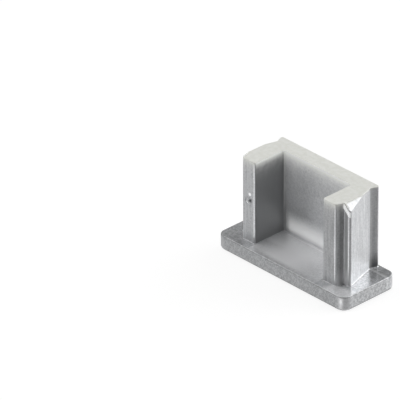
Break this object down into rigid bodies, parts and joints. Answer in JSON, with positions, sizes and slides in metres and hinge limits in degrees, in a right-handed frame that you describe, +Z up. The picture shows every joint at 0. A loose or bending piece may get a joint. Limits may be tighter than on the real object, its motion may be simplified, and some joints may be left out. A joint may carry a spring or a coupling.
{
  "type": "profile end cap",
  "caption": "Moulded end cap for a shallow U-shaped aluminium profile: a flat cover plate with a barbed U-shaped plug that is pushed into the profile's end.",
  "frame": {"origin": "centre of the plate's show face, which lies on the surface that the cap stands on", "axes": "+X along the plate's length, +Y across it towards the plug's closed long wall (the U opens towards -Y), +Z up along the plug, into the profile"},
  "size_m": [0.0176, 0.007, 0.0105],
  "materials": {
    "painted_plastic": "silver metallic paint with a fine grain over cream plastic, which is bare on the rim of the plug"
  },
  "bodies": {
    "root": {"end_cap": "painted_plastic"}
  },
  "joints": []
}
